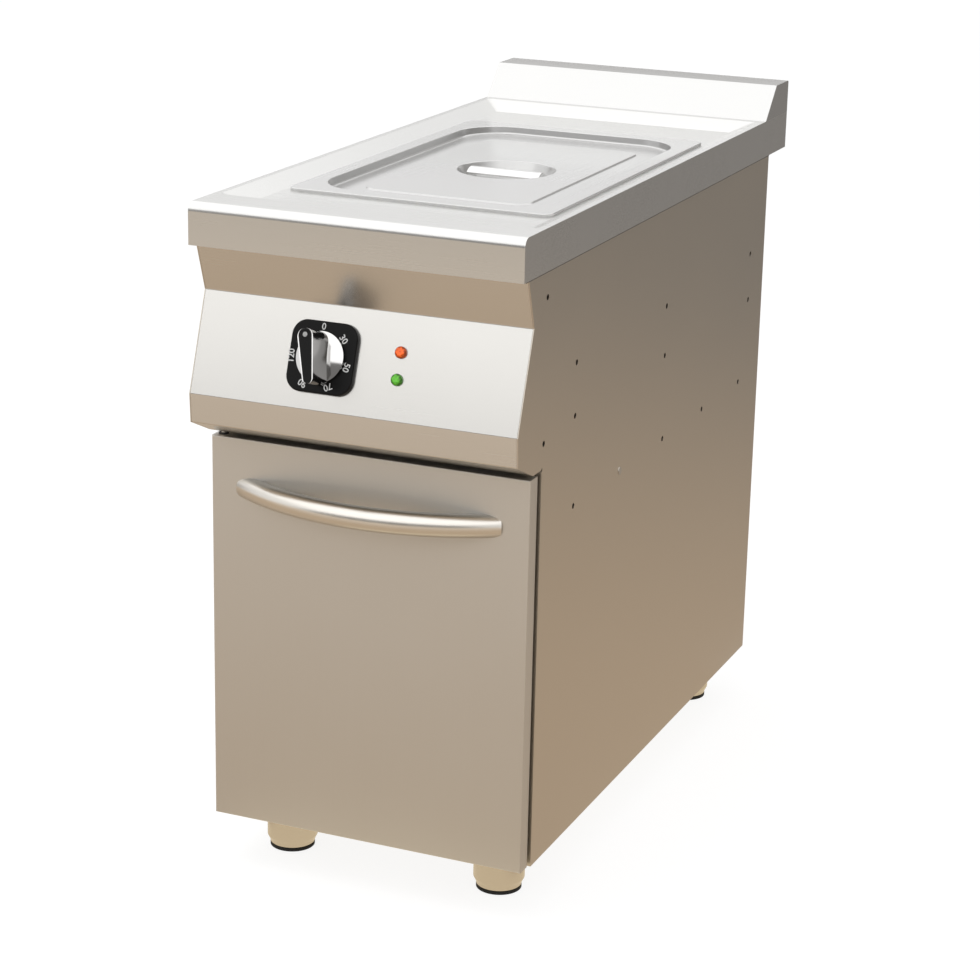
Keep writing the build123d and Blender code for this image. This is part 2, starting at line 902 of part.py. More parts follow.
with BuildPart() as thermostat_body:
    with BuildSketch(dial_plane.offset(-panel_sheet)):
        RectangleRounded(thermostat_size, thermostat_size, bend_radius)
    extrude(amount=-thermostat_depth)
    with BuildSketch(dial_plane.offset(-panel_sheet)):
        Circle(shaft_radius + shaft_play)
    extrude(amount=-thermostat_depth / 2, mode=Mode.SUBTRACT)
save("thermostat_body", thermostat_body.part)

knob_base = dial_thick + knob_gap
knob_disc_top = knob_base + knob_disc_height
knob_top = knob_base + knob_height
rest_turn = radians(knob_rest_turn)
knob_plane = Plane(
    origin=dial_plane.origin,
    x_dir=dial_plane.x_dir * cos(rest_turn) + dial_plane.y_dir * sin(rest_turn),
    z_dir=dial_plane.z_dir,
)
shaft_end = -panel_sheet - thermostat_depth / 2 + knob_gap


def grip_outline(height_over_face, pointer_radius, tail_radius):
    """The grip's outline: two circles and their common tangents, along the pointer."""
    with BuildSketch(knob_plane.offset(height_over_face)) as outline:
        with Locations((0, knob_pointer_reach - pointer_radius)):
            Circle(pointer_radius)
        with Locations((0, tail_radius - knob_tail_reach)):
            Circle(tail_radius)
        make_hull()
    return outline.sketch


grip_foot = knob_base + knob_disc_height / 2
grip_levels = [
    grip_outline(grip_foot, grip_foot_pointer_radius, grip_foot_tail_radius),
    grip_outline(grip_foot + grip_waist_height, grip_waist_pointer_radius, grip_waist_tail_radius),
    grip_outline(knob_top, grip_top_pointer_radius, grip_top_tail_radius),
]
insert_outline = grip_outline(
    knob_top - insert_depth,
    grip_top_pointer_radius - insert_border,
    grip_top_tail_radius - insert_border,
)
dome_radius = (knob_radius**2 + knob_crown**2) / (2 * knob_crown)
half_dome = asin(knob_radius / dome_radius) / 2
dome_middle = (
    dome_radius * sin(half_dome),
    knob_disc_top - dome_radius * (1 - cos(half_dome)),
)

with BuildPart() as knob_body:
    with BuildSketch(Plane(knob_plane.origin, x_dir=knob_plane.x_dir, z_dir=-knob_plane.y_dir)):
        with BuildLine():
            rim_top = (knob_radius, knob_disc_top - knob_crown)
            Polyline((0, knob_disc_top), (0, knob_base), (knob_radius, knob_base), rim_top)
            ThreePointArc(rim_top, dome_middle, (0, knob_disc_top))
        make_face()
    revolve(axis=Axis(knob_plane.origin, knob_plane.z_dir))
    loft(grip_levels)
    extrude(insert_outline, amount=insert_depth, mode=Mode.SUBTRACT)
    with BuildSketch(knob_plane.offset(knob_base)):
        Circle(shaft_radius)
    extrude(amount=knob_socket_depth, mode=Mode.SUBTRACT)
save("knob_body", knob_body.part)

with BuildPart() as knob_insert:
    extrude(insert_outline, amount=insert_depth)
save("knob_insert", knob_insert.part)

with BuildPart() as thermostat_shaft:
    with BuildSketch(dial_plane.offset(shaft_end)):
        Circle(shaft_radius)
    extrude(amount=knob_base + knob_socket_depth - shaft_end)
save("thermostat_shaft", thermostat_shaft.part)


# Pilot lamps: a coloured lens in front, its holder through the panel
for colour, drop in lamp_drops.items():
    lamp_plane = on_face(lamp_x, drop)
    with BuildPart() as lens:
        with BuildSketch(lamp_plane):
            Circle(lamp_radius)
        extrude(amount=lamp_flange + lamp_dome)
        lens_top = lens.faces().sort_by(Axis(lamp_plane.origin, lamp_plane.z_dir))[-1]
        fillet(lens_top.edges(), lamp_dome)
        with BuildSketch(lamp_plane):
            Circle(lamp_stem_radius)
        extrude(amount=-lamp_stem)
    save(f"lamp_{colour}", lens.part)
    with BuildPart() as holder:
        with BuildSketch(lamp_plane):
            Circle(lamp_body_radius)
        extrude(amount=-lamp_body_length)
        with BuildSketch(lamp_plane.offset(-panel_sheet)):
            Circle(lamp_nut_radius)
        extrude(amount=-lamp_nut_thick)
        with BuildSketch(lamp_plane):
            Circle(lamp_stem_radius)
        extrude(amount=-lamp_stem, mode=Mode.SUBTRACT)
    save(f"lamp_{colour}_body", holder.part)


# Door: folded skin, liner, bushes, bow handle and strike plate
door_half = half_width - door_side_gap
door_bottom_z = leg_height + bush_flange_thick + bush_rest_gap
door_top_z = lip_z - door_top_gap
door_front_y = behind(door_set_back)
door_back_y = door_front_y + door_thick
door_mid_z = (door_bottom_z + door_top_z) / 2
door_height = door_top_z - door_bottom_z
handle_z = door_top_z - handle_drop
handle_half_chord = door_half - handle_end_margin
handle_arc_radius = (handle_half_chord**2 + handle_stand_off**2) / (2 * handle_stand_off)
handle_screw_x = handle_half_chord - handle_screw_inset
handle_screw_points = [(-handle_screw_x, handle_z), (handle_screw_x, handle_z)]

with BuildPart() as door_skin:
    with BuildSketch(Plane.XZ.offset(-door_back_y)):
        with Locations((0, door_mid_z)):
            Rectangle(2 * door_half, door_height)
    extrude(amount=door_thick)
    fillet(door_skin.faces().sort_by(Axis.Y)[0].edges(), door_edge_radius)
    offset(amount=-door_sheet, openings=door_skin.faces().sort_by(Axis.Y)[-1])
    with BuildSketch(Plane.XY.offset(door_bottom_z)):
        with Locations((hinge_x, hinge_y)):
            Circle(bush_radius)
    extrude(amount=door_height, mode=Mode.SUBTRACT)
    with BuildSketch(Plane.XZ.offset(-door_front_y)):
        with Locations(*handle_screw_points):
            Circle(handle_screw_radius)
    extrude(amount=-door_sheet, mode=Mode.SUBTRACT)
save("door_skin", door_skin.part)

with BuildPart() as door_liner:
    with BuildSketch(Plane.XZ.offset(-door_back_y)):
        with Locations((0, door_mid_z)):
            Rectangle(2 * (door_half - door_sheet - seam), door_height - 2 * (door_sheet + seam))
    extrude(amount=door_sheet)
save("door_liner", door_liner.part)


def door_bush(end_z, inward):
    """A flanged bush at one end of the door; inward is 1 for the bottom one and -1 for the top one."""
    with BuildPart() as bush:
        with BuildSketch(Plane.XY.offset(end_z)):
            with Locations((hinge_x, hinge_y)):
                Circle(bush_radius)
        extrude(amount=inward * bush_length)
        with BuildSketch(Plane.XY.offset(end_z)):
            with Locations((hinge_x, hinge_y)):
                Circle(bush_flange_radius)
        extrude(amount=-inward * bush_flange_thick)
        with BuildSketch(Plane.XY.offset(end_z - inward * bush_flange_thick)):
            with Locations((hinge_x, hinge_y)):
                Circle(hinge_pin_radius + hinge_play)
        extrude(amount=inward * (bush_length + bush_flange_thick), mode=Mode.SUBTRACT)
    return bush.part


save("door_bush_top", door_bush(door_top_z, -1))
save("door_bush_bottom", door_bush(door_bottom_z, 1))

with BuildPart() as door_handle:
    arc_centre_y = door_front_y - handle_stand_off + handle_arc_radius
    end_turn = degrees(atan2(handle_half_chord, handle_arc_radius - handle_stand_off))
    end_turn += degrees(handle_overrun / handle_arc_radius)
    with BuildLine(Plane.XY.offset(handle_z)) as bow:
        CenterArc((0, arc_centre_y), handle_arc_radius, 270 - end_turn, 2 * end_turn)
    with BuildSketch(Plane(origin=bow.line @ 0, z_dir=bow.line % 0)):
        Circle(handle_radius)
    sweep()
    split(bisect_by=Plane.XZ.offset(-door_front_y), keep=Keep.TOP)
    with BuildSketch(Plane.XZ.offset(-door_front_y)):
        with Locations(*handle_screw_points):
            Circle(handle_screw_radius)
    extrude(amount=handle_screw_depth, mode=Mode.SUBTRACT)
save("door_handle", door_handle.part)

with BuildPart() as handle_screws:
    with BuildSketch(Plane.XZ.offset(-door_front_y - door_sheet)):
        with Locations(*handle_screw_points):
            Circle(handle_screw_radius)
    extrude(amount=door_sheet + handle_screw_depth)
    with BuildSketch(Plane.XZ.offset(-door_front_y - door_sheet)):
        with Locations(*handle_screw_points):
            Circle(handle_screw_head)
    extrude(amount=-handle_screw_head_thick)
save("handle_screws", handle_screws.part)

catch_x = inside_x - catch_inset
catch_top_z = lip_top_z
catch_mid_z = catch_top_z - catch_height / 2
strike_z = min(catch_mid_z, door_top_z - strike_height / 2 - door_sheet)
with BuildPart() as strike_plate:
    with BuildSketch(Plane.XZ.offset(-door_back_y)):
        with Locations((catch_x, strike_z)):
            RectangleRounded(strike_breadth, strike_height, bend_radius)
    extrude(amount=-strike_thick)
save("strike_plate", strike_plate.part)

with BuildPart() as magnetic_catch:
    catch_front_y = door_back_y + strike_thick + strike_gap
    with BuildSketch(Plane.XY.offset(catch_top_z)):
        with Locations((catch_x, catch_front_y + catch_depth / 2)):
            Rectangle(catch_breadth, catch_depth)
    extrude(amount=-catch_height)
    fillet(magnetic_catch.edges().filter_by(Axis.Z), bend_radius)
save("magnetic_catch", magnetic_catch.part)


# Hinge brackets and pins
with BuildPart() as hinge_bracket_top:
    with BuildSketch(Plane.XY.offset(lip_top_z)):
        with Locations((bracket_x, (bracket_front_y + rail_front_y) / 2)):
            Rectangle(bracket_breadth, rail_front_y - bracket_front_y)
        with Locations((hinge_x, hinge_y)):
            Circle(hinge_pin_radius, mode=Mode.SUBTRACT)
    extrude(amount=bracket_thick)
save("hinge_bracket_top", hinge_bracket_top.part)

with BuildPart() as hinge_bracket_bottom:
    with BuildSketch(Plane.XY.offset(leg_height)):
        with Locations((bracket_x, (bracket_front_y + bracket_back_y) / 2)):
            Rectangle(bracket_breadth, bracket_back_y - bracket_front_y)
        with Locations((hinge_x, hinge_y)):
            Circle(hinge_pin_radius, mode=Mode.SUBTRACT)
        with Locations(*hinge_screw_points):
            Circle(hinge_screw_radius, mode=Mode.SUBTRACT)
    extrude(amount=-bracket_thick)
save("hinge_bracket_bottom", hinge_bracket_bottom.part)

with BuildPart() as hinge_pin_top:
    with BuildSketch(Plane.XY.offset(lip_top_z + bracket_thick)):
        with Locations((hinge_x, hinge_y)):
            Circle(hinge_pin_radius)
    extrude(amount=door_top_z - bush_length - lip_top_z - bracket_thick)
save("hinge_pin_top", hinge_pin_top.part)

with BuildPart() as hinge_pin_bottom:
    with BuildSketch(Plane.XY.offset(leg_height - bracket_thick)):
        with Locations((hinge_x, hinge_y)):
            Circle(hinge_pin_radius)
    extrude(amount=bracket_thick + door_bottom_z + bush_length - leg_height)
save("hinge_pin_bottom", hinge_pin_bottom.part)

with BuildPart() as hinge_screws:
    with BuildSketch(Plane.XY.offset(leg_height - bracket_thick)):
        with Locations(*hinge_screw_points):
            Circle(hinge_screw_radius)
    extrude(amount=bracket_thick + panel_sheet)
    with BuildSketch(Plane.XY.offset(leg_height - bracket_thick)):
        with Locations(*hinge_screw_points):
            Circle(hinge_screw_head)
    extrude(amount=-hinge_screw_head_thick)
save("hinge_screws", hinge_screws.part)


# Heating element under the tank, held up by two bars on welded studs
heater_z = tank_under_z - heater_gap - heater_radius
heater_front_y = tank_front_y + heater_end_margin
heater_back_y = well_y + tank_length / 2 - heater_turn_margin
heater_near_y = tank_front_y + heater_turn_margin
inner_leg = heater_leg_pitch / 2
outer_leg = inner_leg + heater_leg_pitch
clamp_top_z = heater_z - heater_radius - heater_gap
clamp_rows = (well_y - clamp_pitch / 2, well_y + clamp_pitch / 2)
stud_points = [(x, y) for y in clamp_rows for x in (-stud_x, stud_x)]

with BuildPart() as heater_element:
    with BuildLine(Plane.XY.offset(heater_z)) as heater_path:
        FilletPolyline(
            (-outer_leg, heater_front_y),
            (-outer_leg, heater_back_y),
            (-inner_leg, heater_back_y),
            (-inner_leg, heater_near_y),
            (inner_leg, heater_near_y),
            (inner_leg, heater_back_y),
            (outer_leg, heater_back_y),
            (outer_leg, heater_front_y),
            radius=heater_bend,
        )
    with BuildSketch(Plane(origin=heater_path.line @ 0, z_dir=heater_path.line % 0)):
        Circle(heater_radius)
    sweep()
save("heater_element", heater_element.part)

with BuildPart() as heater_clamps:
    with BuildSketch(Plane.XY.offset(clamp_top_z)):
        with Locations(*[(0, y) for y in clamp_rows]):
            RectangleRounded(clamp_length, clamp_breadth, bend_radius)
        with Locations(*stud_points):
            Circle(stud_radius + stud_play, mode=Mode.SUBTRACT)
    extrude(amount=-clamp_thick)
save("heater_clamps", heater_clamps.part)

with BuildPart() as clamp_studs:
    nut_top_z = clamp_top_z - clamp_thick
    with BuildSketch(Plane.XY.offset(tank_under_z)):
        with Locations(*stud_points):
            Circle(stud_radius)
    extrude(amount=nut_top_z - nut_thick - stud_tail - tank_under_z)
    with BuildSketch(Plane.XY.offset(nut_top_z)):
        with Locations(*stud_points):
            RegularPolygon(nut_radius, 6)
    extrude(amount=-nut_thick)
save("clamp_studs", clamp_studs.part)


# Sensing bulb, its capillary from the thermostat, and the limit thermostat
with BuildPart() as thermostat_bulb:
    with BuildSketch(Plane.YZ.offset(bulb_x - bulb_length / 2)):
        with Locations((bulb_y, bulb_z)):
            Circle(bulb_radius)
    extrude(amount=bulb_length)
save("thermostat_bulb", thermostat_bulb.part)

thermostat_rear = dial_plane.offset(-panel_sheet - thermostat_depth)
bulb_end = (bulb_x - bulb_length / 2, bulb_y, bulb_z)
rear_run = thermostat_rear.z_dir * (-thermostat_depth)
capillary_points = (
    thermostat_rear.origin,
    thermostat_rear.origin + rear_run,
    (dial_x - thermostat_size / 2, bulb_y - thermostat_depth, bulb_z),
    (dial_x - thermostat_size / 2, bulb_y, bulb_z),
    bulb_end,
)
with BuildPart() as thermostat_capillary:
    with BuildLine() as capillary_path:
        FilletPolyline(*capillary_points, radius=capillary_bend)
    with BuildSketch(Plane(origin=capillary_path.line @ 0, z_dir=capillary_path.line % 0)):
        Circle(capillary_radius)
    sweep()
save("thermostat_capillary", thermostat_capillary.part)

with BuildPart() as limit_thermostat:
    limit_z = recess_floor_z - limit_drop
    with BuildSketch(Plane.XZ.offset(-tank_front_y)):
        with Locations((limit_x, limit_z)):
            Circle(limit_radius)
    extrude(amount=limit_depth)
    fillet(limit_thermostat.faces().sort_by(Axis.Y)[0].edges(), bend_radius)
save("limit_thermostat", limit_thermostat.part)


# Drain: flanged tail through the tank floor, nut, pipe and ball valve with its lever
tail_bottom_z = tank_under_z - drain_tail
valve_z = ceiling_z - valve_drop - valve_length / 2
valve_top_z = valve_z + valve_length / 2
drain_axis_plane = Plane.XZ.offset(-drain_y)

with BuildPart() as drain_fitting:
    with BuildSketch(Plane.XY.offset(tank_floor_z)):
        with Locations((drain_x, drain_y)):
            Circle(drain_flange_radius)
    extrude(amount=drain_flange_thick)
    with BuildSketch(Plane.XY.offset(tank_floor_z)):
        with Locations((drain_x, drain_y)):
            Circle(drain_pipe_radius)
    extrude(amount=tail_bottom_z - tank_floor_z)
    with BuildSketch(Plane.XY.offset(tank_floor_z + drain_flange_thick)):
        with Locations((drain_x, drain_y)):
            Circle(drain_bore)
    extrude(amount=tail_bottom_z - tank_floor_z - drain_flange_thick, mode=Mode.SUBTRACT)
save("drain_fitting", drain_fitting.part)

with BuildPart() as drain_nut:
    with BuildSketch(Plane.XY.offset(tank_under_z)):
        with Locations((drain_x, drain_y)):
            RegularPolygon(drain_nut_radius, 6)
            Circle(drain_pipe_radius, mode=Mode.SUBTRACT)
    extrude(amount=-drain_nut_thick)
save("drain_nut", drain_nut.part)

with BuildPart() as drain_pipe:
    with BuildSketch(Plane.XY.offset(tail_bottom_z)):
        with Locations((drain_x, drain_y)):
            Circle(drain_pipe_radius)
            Circle(drain_bore, mode=Mode.SUBTRACT)
    extrude(amount=valve_top_z - tail_bottom_z)
save("drain_pipe", drain_pipe.part)

with BuildPart() as valve_body:
    with BuildSketch(Plane.XY.offset(valve_top_z)):
        with Locations((drain_x, drain_y)):
            Circle(valve_radius)
    extrude(amount=-valve_length)
    chamfer(valve_body.edges().filter_by(GeomType.CIRCLE), bend_radius)
    with BuildSketch(drain_axis_plane):
        with Locations((drain_x, valve_z)):
            Circle(valve_boss_radius)
    extrude(amount=valve_boss_reach)
    with BuildSketch(Plane.XY.offset(valve_top_z)):
        with Locations((drain_x, drain_y)):
            Circle(drain_bore)
    extrude(amount=-valve_length, mode=Mode.SUBTRACT)
    with BuildSketch(Plane.XY.offset(valve_top_z - valve_length)):
        with Locations((drain_x, drain_y)):
            Circle(outlet_radius)
    extrude(amount=outlet_depth, mode=Mode.SUBTRACT)
    with Locations((drain_x, drain_y, valve_z)):
        Sphere(ball_radius + ball_play, mode=Mode.SUBTRACT)
    with BuildSketch(drain_axis_plane):
        with Locations((drain_x, valve_z)):
            Circle(stem_radius + stem_play)
    extrude(amount=valve_boss_reach, mode=Mode.SUBTRACT)
save("valve_body", valve_body.part)

with BuildPart() as valve_ball:
    with Locations((drain_x, drain_y, valve_z)):
        Sphere(ball_radius, rotation=(0, 90, 0))
    with BuildSketch(drain_axis_plane):
        with Locations((drain_x, valve_z)):
            Circle(stem_radius)
    extrude(amount=stem_reach)
    with BuildSketch(Plane.YZ.offset(drain_x - ball_radius)):
        with Locations((drain_y, valve_z)):
            Circle(drain_bore)
    extrude(amount=2 * ball_radius, mode=Mode.SUBTRACT)
save("valve_ball", valve_ball.part)

with BuildPart() as valve_lever:
    with BuildSketch(Plane.XZ.offset(-drain_y + valve_boss_reach + lever_gap)):
        with Locations((drain_x, valve_z)):
            Circle(lever_breadth / 2)
        with Locations((drain_x + lever_length, valve_z)):
            Circle(lever_tip_breadth / 2)
        make_hull()
        with Locations((drain_x, valve_z)):
            Circle(stem_radius, mode=Mode.SUBTRACT)
    extrude(amount=lever_thick)
save("valve_lever", valve_lever.part)


# Mains entry at the back, terminal block and the wires inside
with BuildPart() as cable_gland:
    with BuildSketch(Plane.XZ.offset(-panel_back_y)):
        with Locations((gland_x, gland_z)):
            Circle(gland_radius)
    extrude(amount=panel_sheet + gland_inside)
    with BuildSketch(Plane.XZ.offset(-panel_back_y)):
        with Locations((gland_x, gland_z)):
            RegularPolygon(gland_flange_radius, 6)
    extrude(amount=-gland_flange_thick)
    with BuildSketch(Plane.XZ.offset(-panel_back_y - gland_flange_thick)):
        with Locations((gland_x, gland_z)):
            Circle(gland_radius)
    extrude(amount=-gland_dome_length)
    fillet(cable_gland.faces().sort_by(Axis.Y)[-1].edges(), gland_radius / 2)
    with BuildSketch(Plane.XZ.offset(-panel_front_y + gland_inside)):
        with Locations((gland_x, gland_z)):
            Circle(gland_bore)
    gland_length = gland_inside + panel_sheet + gland_flange_thick + gland_dome_length
    extrude(amount=-gland_length, mode=Mode.SUBTRACT)
save("cable_gland", cable_gland.part)

block_back_y = panel_front_y - gland_inside - block_gap
block_front_y = block_back_y - block_length
with BuildPart() as terminal_block:
    with BuildSketch(Plane.XY.offset(ceiling_top_z)):
        with Locations((gland_x, block_back_y - block_length / 2)):
            Rectangle(block_breadth, block_length)
    extrude(amount=block_height)
    fillet(terminal_block.edges().filter_by(Axis.Z), bend_radius)
save("terminal_block", terminal_block.part)

tank_side_x = tank_breadth / 2 + tank_sheet
lane_x = tank_side_x + (inside_x - tank_side_x) / 2
wire_z = ceiling_top_z + block_height / 2
live_lead = thermostat_rear.origin + (wire_lane / 2, 0, 0)
heater_lead = thermostat_rear.origin - (wire_lane / 2, 0, 0)
wire_routes = (
    (
        (gland_x - wire_lane, block_front_y, wire_z),
        (gland_x - wire_lane, block_front_y - 2 * wire_lane, wire_z),
        (lane_x - wire_lane / 4, block_front_y - 4 * wire_lane, wire_z),
        (lane_x - wire_lane / 4, tank_front_y - 2 * wire_lane, wire_z),
        live_lead + rear_run,
        live_lead,
    ),
    (
        (gland_x + wire_lane, block_front_y, wire_z),
        (gland_x + wire_lane, block_front_y - 2 * wire_lane, wire_z),
        (lane_x + wire_lane / 4, block_front_y - 4 * wire_lane, wire_z),
        (lane_x + wire_lane / 4, tank_front_y - wire_lane, heater_z),
        (outer_leg, tank_front_y - wire_lane, heater_z),
        (outer_leg, heater_front_y, heater_z),
    ),
    (
        heater_lead,
        heater_lead + rear_run,
        (-outer_leg, tank_front_y - wire_lane, heater_z),
        (-outer_leg, heater_front_y, heater_z),
    ),
)
with BuildPart() as internal_wiring:
    for route in wire_routes:
        with BuildLine() as wire_path:
            FilletPolyline(*route, radius=wire_bend)
        with BuildSketch(Plane(origin=wire_path.line @ 0, z_dir=wire_path.line % 0)):
            Circle(wire_radius)
        sweep(path=wire_path.line)
save("internal_wiring", internal_wiring.part)
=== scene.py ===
import json
from math import cos, radians, sin

import bmesh
import bpy
from mathutils import Matrix, Vector


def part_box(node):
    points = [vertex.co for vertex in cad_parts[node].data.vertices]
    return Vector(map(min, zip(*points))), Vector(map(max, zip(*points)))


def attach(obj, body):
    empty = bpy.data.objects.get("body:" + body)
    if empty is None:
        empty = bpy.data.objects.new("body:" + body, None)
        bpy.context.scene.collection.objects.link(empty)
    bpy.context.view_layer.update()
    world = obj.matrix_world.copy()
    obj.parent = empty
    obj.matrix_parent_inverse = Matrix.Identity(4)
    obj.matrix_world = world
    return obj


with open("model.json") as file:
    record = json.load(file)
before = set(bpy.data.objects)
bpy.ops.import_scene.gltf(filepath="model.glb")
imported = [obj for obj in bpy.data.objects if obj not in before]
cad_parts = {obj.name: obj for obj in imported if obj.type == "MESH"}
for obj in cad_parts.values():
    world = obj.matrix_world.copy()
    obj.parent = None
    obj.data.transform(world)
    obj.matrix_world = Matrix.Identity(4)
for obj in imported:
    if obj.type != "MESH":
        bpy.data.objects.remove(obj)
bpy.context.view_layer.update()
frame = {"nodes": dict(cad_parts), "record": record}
nodes = frame["nodes"]
scene = bpy.context.scene

# The slanted face: its axes come from the knob's joint, and heights above it are the solids' own, in metres
joints = frame["record"]["behaviour"]["joints"]
knob_turn = next(joint for joint in joints if joint["name"] == "thermostat_turn")
DIAL_CENTRE = Vector(knob_turn["pos_m"])
FACE_NORMAL = Vector(knob_turn["axis"]).normalized()
if FACE_NORMAL.y > 0:
    FACE_NORMAL.negate()
ACROSS = Vector((1, 0, 0))
FACE_UP = FACE_NORMAL.cross(ACROSS)
DIAL_THICK = 0.006
KNOB_TOP = 0.0453
KNOB_REST_TURN = radians(12.5)


def shade(red, green, blue):
    """A linear colour from the 0 to 255 values seen on a screen."""
    parts = [v / 255 for v in (red, green, blue)]
    return tuple(v / 12.92 if v <= 0.04045 else ((v + 0.055) / 1.055) ** 2.4 for v in parts)


def scaled(colour, factor):
    """A darker or brighter colour, with its alpha."""
    return tuple(min(1.0, v * factor) for v in colour) + (1.0,)


class Wire:
    """A socket to link from; Python's operators on one that carries a number add Math nodes."""

    def __init__(self, recipe, socket):
        self.recipe = recipe
        self.socket = socket

    def __add__(self, other):
        return self.recipe.maths("ADD", self, other)

    def __sub__(self, other):
        return self.recipe.maths("SUBTRACT", self, other)

    def __rsub__(self, other):
        return self.recipe.maths("SUBTRACT", other, self)

    def __mul__(self, other):
        return self.recipe.maths("MULTIPLY", self, other)

    def __truediv__(self, other):
        return self.recipe.maths("DIVIDE", self, other)

    def __rtruediv__(self, other):
        return self.recipe.maths("DIVIDE", other, self)

    __radd__ = __add__
    __rmul__ = __mul__


class Recipe:
    """The nodes of one tree: a material's, the world's or a shape's."""

    def __init__(self, tree):
        self.tree = tree
        tree.nodes.clear()

    def node(self, kind, settings=None, sockets=None):
        """Add a node: its settings come first, then the values or links of its sockets."""
        node = self.tree.nodes.new(kind)
        for key, value in (settings or {}).items():
            setattr(node, key, value)
        for key, value in (sockets or {}).items():
            self.feed(node.inputs[key], value)
        return node

    def feed(self, socket, value):
        """Give a socket a link or a plain value."""
        if isinstance(value, Wire):
            value = value.socket
        if isinstance(value, bpy.types.NodeSocket):
            self.tree.links.new(value, socket)
        else:
            socket.default_value = value

    def wire(self, kind, settings=None, sockets=None, output=0):
        return Wire(self, self.node(kind, settings, sockets).outputs[output])

    def maths(self, operation, *values):
        return self.wire("ShaderNodeMath", {"operation": operation}, dict(enumerate(values)))

    def vector(self, operation, *values, output=0):
        return self.wire("ShaderNodeVectorMath", {"operation": operation}, dict(enumerate(values)), output)

    def seen(self):
        """1 for rays from the camera and for mirrored or refracted ones, 0 for the rest."""
        path = self.node("ShaderNodeLightPath").outputs
        mirrored = self.maths("MAXIMUM", path["Is Glossy Ray"], path["Is Transmission Ray"])
        return self.maths("MAXIMUM", path["Is Camera Ray"], mirrored)


class Finish(Recipe):
    """The recipe of one material."""

    def __init__(self, name):
        self.material = bpy.data.materials.new(name)
        self.material.use_nodes = True
        super().__init__(self.material.node_tree)

    def coordinates(self, kind="Object"):
        return self.node("ShaderNodeTexCoord").outputs[kind]

    def noise(self, place, scale, detail):
        return self.wire("ShaderNodeTexNoise", {}, {"Vector": place, "Scale": scale, "Detail": detail}, "Fac")

    def blend(self, factor, first, second):
        """Mix two colours; the Mix node's sockets share their names, so these go by place."""
        return self.wire("ShaderNodeMix", {"data_type": "RGBA"}, {0: factor, 6: first, 7: second}, 2)

    def rise(self, value, start, end):
        """0 up to start and 1 from end on, with a smooth step between."""
        span = {"Value": value, "From Min": start, "From Max": end}
        return self.wire("ShaderNodeMapRange", {"interpolation_type": "SMOOTHSTEP"}, span)

    def walls(self, axis, steep, flat):
        """1 on the walls that stand along the axis, 0 on what lies across it."""
        facing = self.vector("DOT_PRODUCT", self.coordinates("Normal"), axis, output="Value")
        return 1 - self.rise(self.maths("ABSOLUTE", facing), steep, flat)

    def bump(self, height, strength, distance):
        sockets = {"Height": height, "Strength": strength, "Distance": distance}
        return self.wire("ShaderNodeBump", {}, sockets, "Normal")

    def output(self, shader):
        """End the recipe with this shader and give the material."""
        self.node("ShaderNodeOutputMaterial", {}, {"Surface": shader.outputs[0]})
        return self.material

    def surface(self, sockets):
        return self.output(self.node("ShaderNodeBsdfPrincipled", {}, sockets))


# Brush marks of the steel in waves per metre, and the swing of tone and roughness over a metal
MARKS_ALONG = 6.0
MARKS_ACROSS = 1600.0
TONE_SWING = 0.025
ROUGHNESS_SWING = 0.05


def brushed_skin(finish, colour, grain):
    """Fine streaks along the grain axis over a faint unevenness: a colour, a swing of roughness, a normal."""
    place = finish.coordinates()
    stretch = tuple(MARKS_ALONG if axis == grain else MARKS_ACROSS for axis in "XYZ")
    along = finish.wire("ShaderNodeMapping", {}, {"Vector": place, "Scale": stretch})
    streaks = finish.noise(along, scale=1.0, detail=3.0)
    clouds = finish.noise(place, scale=5.0, detail=3.0)
    uneven = streaks * 0.6 + clouds * 0.4
    base = finish.blend(uneven, scaled(colour, 1 - TONE_SWING), scaled(colour, 1 + TONE_SWING))
    swing = (streaks + clouds - 1) * ROUGHNESS_SWING
    return base, swing, finish.bump(streaks, strength=0.008, distance=0.0001)


def satin_steel(name, colour, grain, roughness):
    """Brushed steel sheet."""
    finish = Finish(name)
    base, swing, normal = brushed_skin(finish, colour, grain)
    rough = roughness + swing
    return finish.surface({"Base Color": base, "Metallic": 1.0, "Roughness": rough, "Normal": normal})


def wall_shaded_steel(name, colour, grain, roughness, sheen, rim_edge=0.005, wall_shade_tone=0.7, wall_rough=0.05):
    """Pressed matt steel with painted shade: its steep walls inside the lid's rim edge are darker in the base
    colour.
    """
    finish = Finish(name)
    base, swing, normal = brushed_skin(finish, colour, grain)
    low, high = (Vector(corner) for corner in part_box("pan_lid"))
    offset = finish.vector("SUBTRACT", finish.coordinates(), (low + high) / 2)
    reach = finish.node("ShaderNodeSeparateXYZ", {}, {0: finish.vector("ABSOLUTE", offset)}).outputs
    wall = finish.walls((0, 0, 1), steep=0.22, flat=0.34)
    for axis in (0, 1):
        wall = wall * finish.maths("LESS_THAN", reach[axis], (high - low)[axis] / 2 - rim_edge)
    # Painted shade: the base colour is darker on the steep walls of the lid's recess.
    base = finish.blend(wall, base, scaled(colour, wall_shade_tone))
    rough = roughness + wall * wall_rough + swing
    return finish.surface({"Base Color": base, "Metallic": sheen, "Roughness": rough, "Normal": normal})


def polished_metal(name, colour, roughness, axis=None, painted_shade_tone=0.4):
    """Smooth metal; if an axis is given, the walls that stand along it are darker in the base colour: painted
    shade and painted dark reflection.
    """
    finish = Finish(name)
    clouds = finish.noise(finish.coordinates(), scale=40.0, detail=3.0)
    base = finish.blend(clouds, scaled(colour, 0.97), scaled(colour, 1.03))
    if axis:
        # Painted shade and painted dark reflection on the walls along the axis: the top and bottom of the bow
        # handle, and the sides of the knob's grip.
        base = finish.blend(finish.walls(axis, steep=0.3, flat=0.6), base, scaled(colour, painted_shade_tone))
    rough = roughness + (clouds - 0.5) * ROUGHNESS_SWING
    return finish.surface({"Base Color": base, "Metallic": 1.0, "Roughness": rough})


